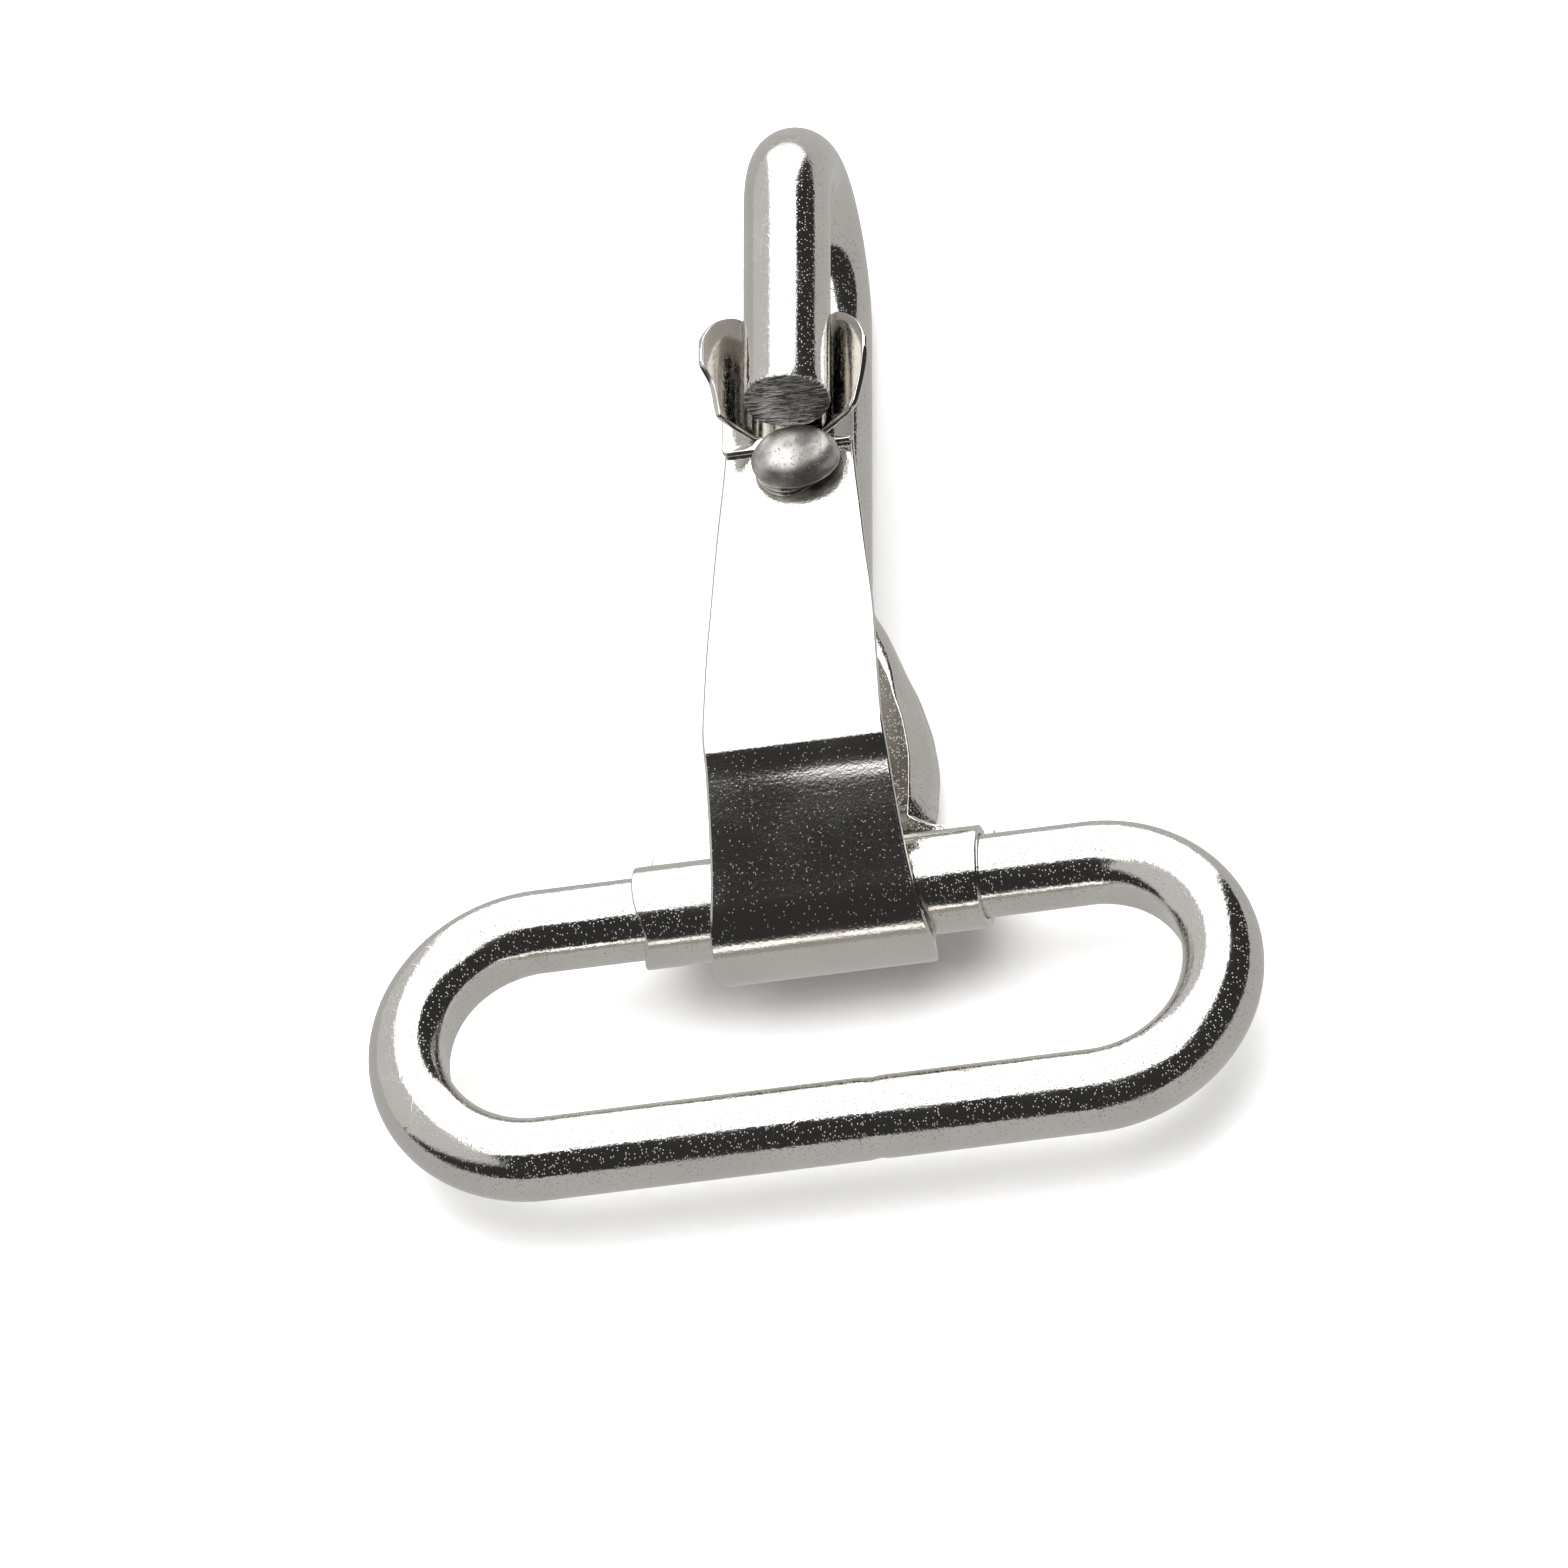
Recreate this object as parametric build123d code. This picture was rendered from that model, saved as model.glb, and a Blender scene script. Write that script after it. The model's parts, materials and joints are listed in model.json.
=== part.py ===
from build123d import *
import math
import os

# Strap snap hook: a bent steel rod hook, a flat leaf-spring gate that closes the mouth,
# and an oval wire bail that carries a strap.
#
# The model is laid out round the eye: X runs along the eye and the bail's bar, +Y runs
# from the bail to the bow, and +Z points from the shank to the nose. The finished part
# lies on its back, with its origin under the middle of the whole. All sizes are in mm.

# Hook rod
ROD_DIA = 4.5
BOW_RADIUS = 5.3              # centre line of the rod round the bow
BOW_Y = 39.4                  # centre of the bow above the eye
SHANK_Z = -4.0                # centre line of the shank, behind the eye
NOSE_END_Y = 26.95            # sheared end of the nose
NOSE_CHAMFER = 0.22
NECK_Y = 21.4                 # the rod is round above this level

# Rolled eye
EYE_OUTER_DIA = 5.3
EYE_LENGTH = 18.0

# Bail wire
WIRE_DIA = 4.3
WIRE_CLEARANCE = 0.05         # radial running clearance of the wire in the eye
BAIL_INNER_WIDTH = 38.0       # takes a 38 mm strap
BAIL_BAR_SPACING = 13.7       # between the centre lines of the two long bars
BAIL_TILT = 4.5               # degrees that the bail hangs behind the hook's plane

# Leaf gate. It lies flat behind the nose, bulges forward down its front, bends back over
# the knee, turns loosely under the eye and ends flat behind the shank.
LEAF_THICKNESS = 0.45
LEAF_TIP_Y = 32.0
LEAF_FRONT_Z = 3.85           # front face, where the leaf lies behind the nose
LEAF_FLAT_Y = 17.5            # the flat stretch behind the nose starts here
LEAF_KNEE = (5.15, 7.4)       # (y, z) of the knee's corner
LEAF_SLOPE = 33.0             # degrees that the leaf leans back below the knee
LEAF_UNDER_Y = -3.7           # lowest reach of the turn under the eye
LEAF_TAIL_Z = -4.0            # outer face of the tail
LEAF_TAIL_Y = 5.4             # the tail ends here
LEAF_BEND_RADII = (10.0, 1.6, 4.0, 3.4)

# Guard saddle
GUARD_THICKNESS = 0.35
GUARD_BOTTOM_Y = 26.0
GUARD_TOP_Y = 32.6
GUARD_HALF_WIDTH = 3.45
GUARD_TAB_RADIUS = 1.7
GUARD_SHIFT = -0.5            # the saddle sits this far left of the nose
EAR_FOOT_X = 1.3              # inner face of an ear where it leaves the base

# Ears: side (-1 left, 1 right), degrees that it leans outward, its level at the foot from
# bottom to top, and its rim as (level, height above the foot) from the bottom up.
EARS = (
    (-1, 34.0, (26.6, 34.0), (
        (26.75, 3.0), (28.5, 3.55), (29.8, 4.45), (30.9, 4.4), (32.0, 3.95), (33.0, 3.1), (33.8, 1.7),
    )),
    (1, 47.0, (26.5, 34.0), (
        (26.5, 3.2), (27.4, 3.85), (29.1, 4.35), (30.3, 4.45), (31.4, 4.1), (32.5, 3.25), (33.6, 1.9),
    )),
)

# Rivet
RIVET_Y = 24.95
RIVET_HEAD_WIDTH = 4.65       # the head is hammered a little oval, widest across the leaf
RIVET_HEAD_LENGTH = 3.6
RIVET_HEAD_HEIGHT = 1.5
RIVET_SHANK_DIA = 2.0
RIVET_TAIL_DIA = 3.2
RIVET_TAIL_HEIGHT = 0.6

# Worked-out places
ROD_R = ROD_DIA / 2
WIRE_R = WIRE_DIA / 2
EYE_OUTER_R = EYE_OUTER_DIA / 2
EYE_BORE_R = WIRE_R + WIRE_CLEARANCE
NOSE_Z = SHANK_Z + 2 * BOW_RADIUS
LEAF_BACK_Z = LEAF_FRONT_Z - LEAF_THICKNESS
GUARD_FRONT_Z = LEAF_FRONT_Z + GUARD_THICKNESS
BAIL_END_RADIUS = BAIL_BAR_SPACING / 2
BAIL_STRAIGHT = BAIL_INNER_WIDTH + WIRE_DIA - BAIL_BAR_SPACING

# Stations down the flattened shank: level, half width, thickness, centre height.
# The round rod is hammered out to a thin fishtail that meets the wall of the eye.
FLAT_STATIONS = (
    (NECK_Y, ROD_R, ROD_DIA, SHANK_Z),
    (19.5, 3.0, 3.5, -3.97),
    (17.2, 4.0, 2.76, -3.87),
    (14.6, 4.85, 2.32, -3.67),
    (12.0, 5.5, 2.06, -3.4),
    (9.2, 5.82, 1.84, -3.08),
    (7.0, 5.79, 1.5, -2.9),
    (5.4, 5.75, 0.9, -2.74),
    (3.6, 5.7, 0.7, -2.65),
)
FLAT_EDGE_ROUND = 0.48        # edge radius as a share of the thickness

# Half outline of the sheet that is rolled into the eye, outwards from the fishtail.
WEB_INNER = (5.5, 6.9)
WEB_OUTER = (EYE_LENGTH / 2, 5.2)
WEB_TOP_Z = (-3.2, -2.5)      # back and front face where the web meets the fishtail

# Outline of the leaf up its length: level, middle, half width. The turn sits square on
# the eye, a little to the right; the tip is a little to the left.
LEAF_OUTLINE = (
    (LEAF_UNDER_Y, 0.47, 5.8),
    (-2.4, 0.47, 5.4),
    (-0.5, 0.47, 5.1),
    (4.0, 0.45, 4.75),
    (7.2, 0.23, 4.63),
    (14.3, -0.2, 4.34),
    (20.5, -0.46, 3.87),
    (GUARD_BOTTOM_Y, -0.48, 3.42),
    (30.5, -0.4, 3.1),
    (LEAF_TIP_Y, -0.4, 1.9),
)


def side_face(points):
    """A flat face in the YZ plane, from (y, z) corners."""
    corners = [(0, y, z) for y, z in points]
    return make_face(Polyline(*corners, close=True))


def front_face(points):
    """A flat face in the XY plane, from (x, y) corners."""
    return make_face(Polyline(*[(x, y, 0) for x, y in points], close=True))


def through(face, direction, reach):
    """Extrude a face both ways, far enough to cut or keep everything beside it."""
    return extrude(face, amount=reach, dir=direction, both=True)


def tube_x(radius, x_from, x_to):
    """A solid round bar along X on the eye's axis."""
    bar = Cylinder(radius, x_to - x_from, rotation=(0, 90, 0))
    return Pos((x_from + x_to) / 2, 0, 0) * bar


def rod():
    """The round rod: nose, bow and shank, down to the neck."""
    nose_top = (0, BOW_Y, NOSE_Z)
    shank_top = (0, BOW_Y, SHANK_Z)
    crown = (0, BOW_Y + BOW_RADIUS, SHANK_Z + BOW_RADIUS)
    path = Wire([
        Line((0, NOSE_END_Y, NOSE_Z), nose_top),
        ThreePointArc(nose_top, crown, shank_top),
        Line(shank_top, (0, NECK_Y, SHANK_Z)),
    ])
    start = Plane(origin=(0, NOSE_END_Y, NOSE_Z), z_dir=(0, 1, 0))
    solid = sweep(start * Circle(ROD_R), path=path)
    nose_face = solid.faces().filter_by(GeomType.PLANE).sort_by(Axis.Z)[-1]
    return chamfer(nose_face.edges(), NOSE_CHAMFER)


def fishtail():
    """The hammered stretch, from the round neck to the thin sheet above the eye."""
    sections = []
    for level, half_width, thickness, height in FLAT_STATIONS:
        plane = Plane(origin=(0, level, height), x_dir=(1, 0, 0), z_dir=(0, -1, 0))
        radius = thickness * FLAT_EDGE_ROUND
        sections.append(plane * RectangleRounded(2 * half_width, thickness, radius))
    return loft(sections)


def eye():
    """The rolled barrel, with the webs that run up its back into the fishtail."""
    half = EYE_LENGTH / 2
    barrel = tube_x(EYE_OUTER_R, -half, half)
    side = side_face([
        (0, -EYE_OUTER_R),
        (0, -EYE_BORE_R),
        (WEB_INNER[1], WEB_TOP_Z[1]),
        (WEB_INNER[1], WEB_TOP_Z[0]),
    ])
    outline = front_face([
        (-WEB_OUTER[0], 0),
        (-WEB_OUTER[0], WEB_OUTER[1]),
        (-WEB_INNER[0], WEB_INNER[1]),
        WEB_INNER,
        WEB_OUTER,
        (WEB_OUTER[0], 0),
    ])
    web = through(side, (1, 0, 0), half) & through(outline, (0, 0, 1), EYE_LENGTH)
    bore = tube_x(EYE_BORE_R, -EYE_LENGTH, EYE_LENGTH)
    return barrel + web - bore


def hook_body():
    """Nose, bow, shank, fishtail and eye are one piece of forged rod."""
    return rod() + fishtail() + eye()


def rivet_hole():
    """The hole for the rivet's shank, through leaf and guard."""
    return Pos(0, RIVET_Y, LEAF_FRONT_Z) * Cylinder(RIVET_SHANK_DIA / 2, LEAF_FRONT_Z)


def gate_spring():
    """The leaf: one strip bent from the tip to the tail, then cut to its outline."""
    slope = math.radians(LEAF_SLOPE)
    knee_y, knee_z = LEAF_KNEE
    under_z = knee_z - (knee_y - LEAF_UNDER_Y) * math.tan(slope)
    corners = [
        (LEAF_TIP_Y, LEAF_FRONT_Z),
        (LEAF_FLAT_Y, LEAF_FRONT_Z),
        LEAF_KNEE,
        (LEAF_UNDER_Y, under_z),
        (LEAF_UNDER_Y, LEAF_TAIL_Z),
        (LEAF_TAIL_Y, LEAF_TAIL_Z),
    ]
    outer = FilletPolyline(*[(0, y, z) for y, z in corners], radius=LEAF_BEND_RADII)
    profile = offset(outer, amount=LEAF_THICKNESS, side=Side.LEFT)
    strip = through(make_face(profile), (1, 0, 0), EYE_LENGTH)
    right = [(middle + half, level) for level, middle, half in LEAF_OUTLINE]
    left = [(middle - half, level) for level, middle, half in reversed(LEAF_OUTLINE)]
    outline = through(front_face(right + left), (0, 0, 1), EYE_LENGTH)
    return (strip & outline) - rivet_hole()


def ear(side, lean_degrees, foot_levels, rim):
    """One flared ear of the guard, trimmed flush with the leaf's front."""
    lean = math.radians(lean_degrees)
    foot = (side * EAR_FOOT_X, 0, LEAF_FRONT_Z)
    outward = (side * math.cos(lean), 0, -math.sin(lean))
    plane = Plane(origin=foot, x_dir=(0, 1, 0), z_dir=outward)
    up = plane.y_dir.Z / abs(plane.y_dir.Z)
    bottom, top = ((level, 0) for level in foot_levels)
    edge = [(level, up * height) for level, height in rim]
    outline = Polyline(edge[-1], top, bottom, edge[0]) + Spline(*edge)
    wall = extrude(plane * make_face(outline), amount=GUARD_THICKNESS, dir=outward)
    return split(wall, bisect_by=Plane.XY.offset(LEAF_FRONT_Z), keep=Keep.TOP)


def gate_guard():
    """The saddle on the leaf's tip: a flat base, a round tab and two ears."""
    width = 2 * GUARD_HALF_WIDTH
    length = GUARD_TOP_Y - GUARD_BOTTOM_Y
    corner = GUARD_THICKNESS * 2
    middle = (GUARD_TOP_Y + GUARD_BOTTOM_Y) / 2
    base = Pos(0, middle, LEAF_FRONT_Z) * RectangleRounded(width, length, corner)
    tab = Pos(0, RIVET_Y, LEAF_FRONT_Z) * Circle(GUARD_TAB_RADIUS)
    plate = extrude(base + tab, amount=GUARD_THICKNESS, dir=(0, 0, 1))
    for shape in EARS:
        plate += ear(*shape)
    return Pos(GUARD_SHIFT, 0, 0) * plate - rivet_hole()


def gate_rivet():
    """The domed rivet that fastens the guard, and serves as the thumb button."""
    size = (RIVET_HEAD_WIDTH / 2, RIVET_HEAD_LENGTH / 2, RIVET_HEAD_HEIGHT)
    dome = split(scale(Sphere(1), by=size), bisect_by=Plane.XY, keep=Keep.TOP)
    grip = GUARD_FRONT_Z - LEAF_BACK_Z
    shank = Cylinder(RIVET_SHANK_DIA / 2, grip)
    tail = Cylinder(RIVET_TAIL_DIA / 2, RIVET_TAIL_HEIGHT)
    rivet = (
        Pos(0, 0, GUARD_FRONT_Z) * dome
        + Pos(0, 0, LEAF_BACK_Z + grip / 2) * shank
        + Pos(0, 0, LEAF_BACK_Z - RIVET_TAIL_HEIGHT / 2) * tail
    )
    return Pos(0, RIVET_Y, 0) * rivet


def bail():
    """The closed oval ring: one bar runs in the eye, the strap goes round the other."""
    half = BAIL_STRAIGHT / 2
    far = -BAIL_BAR_SPACING
    path = Wire([
        Line((-half, 0, 0), (half, 0, 0)),
        ThreePointArc((half, 0, 0), (half + BAIL_END_RADIUS, far / 2, 0), (half, far, 0)),
        Line((half, far, 0), (-half, far, 0)),
        ThreePointArc((-half, far, 0), (-half - BAIL_END_RADIUS, far / 2, 0), (-half, 0, 0)),
    ])
    ring = sweep(Plane((-half, 0, 0), z_dir=(1, 0, 0)) * Circle(WIRE_R), path=path)
    return Rot(BAIL_TILT, 0, 0) * ring


def to_stand():
    """From the eye's axis to the origin: under the middle of the box, on the floor."""
    bow_end = BOW_Y + BOW_RADIUS + ROD_R
    bail_end = -BAIL_BAR_SPACING * math.cos(math.radians(BAIL_TILT)) - WIRE_R
    return Pos(0, -(bow_end + bail_end) / 2, ROD_R - SHANK_Z)


os.makedirs("parts", exist_ok=True)
NODES = {
    "hook_body": hook_body,
    "gate_spring": gate_spring,
    "gate_guard": gate_guard,
    "gate_rivet": gate_rivet,
    "bail": bail,
}
for name, make in NODES.items():
    export_step(to_stand() * make(), f"parts/{name}.step")
print("eye axis at", tuple(round(v, 4) for v in to_stand().position))
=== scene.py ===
# %% [markdown]
# # A strap snap hook in five pieces
# The real object is a bent steel rod hook, a leaf spring that closes its mouth, a small
# stamped guard, the rivet that holds it, and an oval wire bail. All of it is nickel plated.
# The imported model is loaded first. It fixes where every piece is and how it moves, so each
# piece below is built in the same space, in metres, and only its looks are decided here.

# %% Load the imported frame
import json
from math import atan2, cos, degrees, exp, pi, radians, sin, sqrt, tan

import bmesh
import bpy
import numpy as np
from mathutils import Matrix, Vector, noise


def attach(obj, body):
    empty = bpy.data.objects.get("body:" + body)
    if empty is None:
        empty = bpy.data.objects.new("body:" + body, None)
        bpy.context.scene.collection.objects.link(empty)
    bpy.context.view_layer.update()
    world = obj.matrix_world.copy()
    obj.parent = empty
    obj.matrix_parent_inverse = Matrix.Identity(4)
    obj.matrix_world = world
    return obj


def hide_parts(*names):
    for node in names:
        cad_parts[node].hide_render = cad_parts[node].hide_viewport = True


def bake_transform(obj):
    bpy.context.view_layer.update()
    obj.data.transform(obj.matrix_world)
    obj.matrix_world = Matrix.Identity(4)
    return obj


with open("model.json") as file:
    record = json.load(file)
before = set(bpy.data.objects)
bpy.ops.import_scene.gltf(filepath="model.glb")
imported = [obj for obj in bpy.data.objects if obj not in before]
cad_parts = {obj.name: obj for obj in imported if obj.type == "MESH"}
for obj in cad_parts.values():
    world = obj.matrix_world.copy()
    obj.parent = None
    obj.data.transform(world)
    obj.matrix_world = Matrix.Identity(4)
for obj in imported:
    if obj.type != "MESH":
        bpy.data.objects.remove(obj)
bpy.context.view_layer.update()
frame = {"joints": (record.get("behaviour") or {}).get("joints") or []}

# %% [markdown]
# ## Where things are
# A hook like this is drawn round its eye, the rolled barrel that the bail runs in. So all
# sizes below are in millimetres from the eye's axis: x runs along the eye, y runs from the
# bail up to the bow, and z points from the shank to the nose. One function turns such a
# point into the frame's metres. The eye's place comes from the bail's own joint, so the
# pieces stay right if the model is packed again.

# %% Millimetres from the eye
MM = 0.001
pivot = next(j["pos_m"] for j in frame["joints"] if j["name"] == "bail_swing")
EYE = Vector(pivot)


def place(x, y, z):
    """A point in the frame, from millimetres measured from the middle of the eye."""
    return Vector((x * MM, y * MM, z * MM)) + EYE


print("the eye is at", [round(v / MM, 3) for v in EYE], "mm")

# %% [markdown]
# ## Skins made of rings
# Most of this object is one bar or strip that changes its section as it goes: round rod,
# flattened tail, rolled sheet, bent leaf. A cylinder or a box can't do that, and sculpting
# isn't exact. Here each piece is a row of closed rings, one for each place along its centre
# line, with faces between neighbours. The ring is a rectangle with elliptical corners: big
# corners give a round rod, and small ones give a sheet. Its points crowd at the corners,
# where a mirror finish shows every facet.

# %% The ring: a rectangle with elliptical corners
CORNER_SHARE = 0.6            # how much of a ring's points go to its corners
ARC_STEPS = 60


def ring_outline(left, right, half_thick, corner, count):
    """Closed outline as (across, out) pairs, from the right edge and over the outer side."""
    corner = min(corner, left, right)
    deep = min(corner, half_thick)
    turns = np.linspace(0, pi / 2, ARC_STEPS)
    quarters = (
        (right - corner, half_thick - deep, 0),
        (corner - left, half_thick - deep, 1),
        (corner - left, deep - half_thick, 2),
        (right - corner, deep - half_thick, 3),
    )
    points, angles = [], []
    for x, y, quarter in quarters:
        for t in turns + quarter * pi / 2:
            points.append((x + corner * cos(t), y + deep * sin(t)))
            angles.append(t)
    points.append(points[0])
    angles.append(2 * pi)
    points = np.array(points)
    runs = np.concatenate([[0], np.cumsum(np.hypot(*np.diff(points, axis=0).T))])
    measure = CORNER_SHARE * np.array(angles) / (2 * pi) + (1 - CORNER_SHARE) * runs / runs[-1]
    at = np.arange(count) / count
    return np.stack([np.interp(at, measure, points[:, i]) for i in (0, 1)], axis=1)


print("a unit rod's ring spans", np.ptp(ring_outline(1, 1, 1, 1, 96), axis=0))

# %% From rings to a mesh
SHARP_ANGLE = radians(38)     # faces that meet at more than this keep a crisp edge
FULLY_EXPOSED = radians(30)   # an edge that turns by this much is rubbed the most


def across(bm, row):
    """Closes a ring with strips between the points that face each other."""
    n = len(row)
    bm.faces.new((row[0], row[1], row[n - 1]))
    for k in range(1, n // 2 - 1):
        bm.faces.new((row[k], row[k + 1], row[n - k - 1], row[n - k]))
    bm.faces.new((row[n // 2 - 1], row[n // 2], row[n // 2 + 1]))


def skin(name, rings, closed=False):
    """An object whose surface runs through the rings, capped at both ends unless it is closed."""
    bm = bmesh.new()
    rows = [[bm.verts.new(p) for p in ring] for ring in rings]
    pairs = list(zip(rows, rows[1:]))
    if closed:
        pairs.append((rows[-1], rows[0]))
    for a, b in pairs:
        for k in range(len(a)):
            m = (k + 1) % len(a)
            bm.faces.new((a[k], a[m], b[m], b[k]))
    if not closed:
        across(bm, rows[0])
        across(bm, rows[-1])
    bmesh.ops.recalc_face_normals(bm, faces=bm.faces)
    mesh = bpy.data.meshes.new(name)
    bm.to_mesh(mesh)
    bm.free()
    piece = bpy.data.objects.new(name, mesh)
    bpy.context.scene.collection.objects.link(piece)
    return piece


def mark_edges(piece):
    """Smooths the faces, keeps hard edges crisp, and stores how exposed each point is."""
    bm = bmesh.new()
    bm.from_mesh(piece.data)
    exposed = [0.0] * len(bm.verts)
    bm.verts.index_update()
    for face in bm.faces:
        face.smooth = True
    for edge in bm.edges:
        turn = edge.calc_face_angle_signed(0.0)
        edge.smooth = abs(turn) < SHARP_ANGLE
        for v in edge.verts:
            exposed[v.index] = max(exposed[v.index], turn)
    bm.to_mesh(piece.data)
    bm.free()
    layer = piece.data.attributes.new("edge", "FLOAT", "POINT")
    shares = np.clip(np.array(exposed) / FULLY_EXPOSED, 0, 1)
    layer.data.foreach_set("value", shares.astype(np.float32))
    print(piece.name, len(piece.data.vertices), "points,", len(piece.data.polygons), "faces")


# %% [markdown]
# ## Smooth tables and bent strips
# Two small helpers do the drawing. The first reads a table of sizes and runs a smooth curve
# through it, without overshoot, so that the hammered parts flow into each other. The second
# walks along a strip that is bent at corners with a radius, as a press brake bends it, and
# gives points with their outward direction.

# %% Helpers: smooth tables and filleted paths


def smooth_table(rows, level):
    """The table's columns at a level, by a monotone cubic through its rows."""
    table = np.array(sorted(rows), float)
    x, y = table[:, 0], table[:, 1:]
    step = np.diff(x)[:, None]
    slope = np.diff(y, axis=0) / step
    tangent = np.zeros_like(y)
    same = slope[:-1] * slope[1:] > 0
    with np.errstate(divide="ignore", invalid="ignore"):
        tangent[1:-1] = np.where(same, 2 / (1 / slope[:-1] + 1 / slope[1:]), 0)
    tangent[0], tangent[-1] = slope[0], slope[-1]
    level = min(max(level, x[0]), x[-1])
    i = min(int(np.searchsorted(x, level, side="right")) - 1, len(x) - 2)
    h = x[i + 1] - x[i]
    t = (level - x[i]) / h
    return (
        (1 + 2 * t) * (1 - t) ** 2 * y[i] + t * (1 - t) ** 2 * h * tangent[i]
        + t * t * (3 - 2 * t) * y[i + 1] + t * t * (t - 1) * h * tangent[i + 1]
    )


def spread(start, end, step):
    """Evenly spaced values from start to end, both kept, about a step apart."""
    return np.linspace(start, end, max(2, int(round(abs(end - start) / step)) + 1))


def bent_path(corners, radii, step, turn_step=3.0):
    """Points along straight runs joined by arcs: (a, b) pairs, for a strip bent at its corners."""
    corners = [np.array(c, float) for c in corners]
    path, start = [], corners[0]
    for i, radius in enumerate(radii, 1):
        to = corners[i + 1] - corners[i]
        back = corners[i] - corners[i - 1]
        to, back = to / np.linalg.norm(to), back / np.linalg.norm(back)
        turn = atan2(back[0] * to[1] - back[1] * to[0], back @ to)
        reach = radius * tan(abs(turn) / 2)
        first = corners[i] - back * reach
        n = max(2, int(np.linalg.norm(first - start) / step) + 1)
        path += [start + (first - start) * t for t in np.linspace(0, 1, n)[:-1]]
        side = np.array((-back[1], back[0])) * (1 if turn > 0 else -1)
        centre = first + side * radius
        for t in np.linspace(0, turn, max(3, int(degrees(abs(turn)) / turn_step) + 1)):
            arm = first - centre
            path.append(centre + np.array((
                arm[0] * cos(t) - arm[1] * sin(t), arm[0] * sin(t) + arm[1] * cos(t))))
        start = path.pop()
    n = max(2, int(np.linalg.norm(corners[-1] - start) / step) + 1)
    path += [start + (corners[-1] - start) * t for t in np.linspace(0, 1, n)]
    return np.array(path)


def outward(path):
    """Unit direction to the right of travel at each point of a path."""
    along = np.gradient(path, axis=0)
    along /= np.linalg.norm(along, axis=1)[:, None]
    return np.stack([along[:, 1], -along[:, 0]], axis=1)


def bump(value, middle, width):
    """A smooth hill of height 1."""
    return exp(-((value - middle) / width) ** 2)


def rise(value, start, end):
    """0 before start, 1 after end, and a smooth step in between."""
    t = min(max((value - start) / (end - start), 0.0), 1.0)
    return t * t * (3 - 2 * t)


# %% [markdown]
# ## The hook body
# One piece of rod makes the nose, the bow and the shank. Its lower end is hammered out into
# a fishtail, and the last of it is thin sheet, rolled once round the bail's bar to make the
# eye. Because it is one piece of metal, it is one skin here: the rings start at the sheared
# end of the nose, go over the bow, down the shank, through the fishtail, and round the eye
# until the sheet's end meets the back again. Building it as one skin gives the soft flow
# from round to flat that separate bodies would lose at their joins. The hammer leaves the
# fishtail's front a little hollow, with a wide bevel down each side, and those two decide
# what it reflects: the leaf's dark back in the middle and the paper along the rim.

# %% Hook body: sizes
ROD_RADIUS = 2.25
BOW_RADIUS = 5.3
BOW_LEVEL = 39.4
NOSE_END = 26.95
NECK = 21.4
SHANK_Z = -4.0
NOSE_Z = SHANK_Z + 2 * BOW_RADIUS
SHEET_HALF = 0.225            # half the thickness of the rolled sheet
SHEET_MIDDLE = 2.425          # radius of the middle of the rolled sheet
EYE_HALF = 9.0
RING_POINTS = 96

# level, left, right, half thickness, middle z, corner
HAMMERED = (
    (21.4, 2.25, 2.25, 2.25, -4.0, 2.25),
    (20.4, 2.55, 2.55, 1.98, -4.0, 2.3),
    (19.5, 3.0, 3.0, 1.75, -3.97, 2.05),
    (17.2, 4.0, 4.0, 1.38, -3.87, 1.1),
    (14.6, 4.85, 4.85, 1.16, -3.67, 0.2),
    (12.0, 5.5, 5.5, 1.03, -3.4, 0.07),
    (9.2, 5.82, 5.82, 0.92, -3.08, 0.06),
    (7.3, 5.8, 5.8, 0.78, -2.92, 0.06),
    (6.8, 5.82, 5.77, 0.7, -2.88, 0.06),
    (6.4, 6.3, 5.75, 0.6, -2.84, 0.08),
    (6.15, 7.7, 5.74, 0.54, -2.81, 0.1),
    (5.9, 8.5, 5.75, 0.5, -2.79, 0.12),
    (5.5, 8.92, 6.0, 0.44, -2.75, 0.14),
    (5.2, 9.0, 7.6, 0.41, -2.73, 0.14),
    (4.95, 9.0, 8.8, 0.39, -2.71, 0.13),
    (4.6, 9.0, 9.0, 0.36, -2.68, 0.12),
    (2.4, 9.0, 9.0, 0.27, -2.52, 0.12),
    (0.0, 9.0, 9.0, SHEET_HALF, -SHEET_MIDDLE, 0.12),
)
print("stations in the hammered stretch:", len(HAMMERED))

# %% Hook body: the round rod
END_SHARES = (0.04, 0.16, 0.3, 0.43, 0.55, 0.66, 0.76, 0.85, 0.92, 0.965)
END_LUMPS = 0.05
END_SLANT = 0.05              # the left of the sheared end is this much shorter

# level above the sheared end, radius, depth of the wear at the upper right
WORN_RIM = ((0.12, 2.225, 0.2), (0.3, 2.249, 0.1), (0.5, 2.249, 0.03), (0.8, 2.238, 0))
WEAR_AT = 66                  # degrees round the rim from the right
WEAR_SPAN = 26


def rod_ring(y, z, out, radius=ROD_RADIUS):
    """A round ring square to the rod; out is the direction away from the bow's centre."""
    return [
        place(u, y + v * out[0], z + v * out[1])
        for u, v in ring_outline(radius, radius, radius, radius, RING_POINTS)
    ]


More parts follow.
